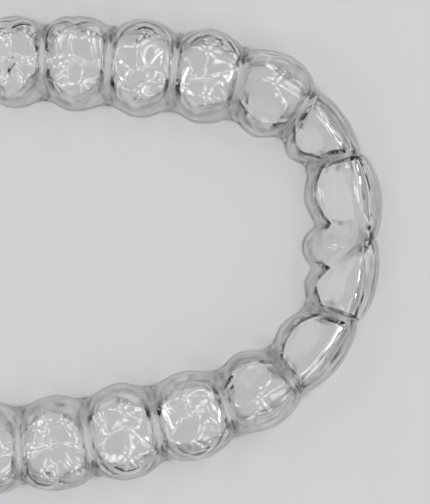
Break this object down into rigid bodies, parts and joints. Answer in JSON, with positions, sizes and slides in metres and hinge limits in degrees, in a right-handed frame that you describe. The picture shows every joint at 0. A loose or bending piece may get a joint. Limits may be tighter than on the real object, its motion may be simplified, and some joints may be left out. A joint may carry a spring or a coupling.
{
  "type": "clear dental aligner",
  "caption": "Clear thermoformed dental aligner tray: a curved row of joined tooth cups, closed over the biting surfaces and open along a trimmed gum line.",
  "frame": {"origin": "middle of the bounding box, on the plane that the lowest stretches of the trim line rest on", "axes": "-Y towards the front teeth, +X towards the arm that lies at the top of the picture, +Z towards the closed biting side"},
  "size_m": [0.0508, 0.0452, 0.0095],
  "materials": {
    "clear_sheet": "clear glossy thermoforming sheet with faint fine layer lines on its outer walls"
  },
  "bodies": {
    "root": {"aligner_shell": "clear_sheet"}
  },
  "joints": []
}
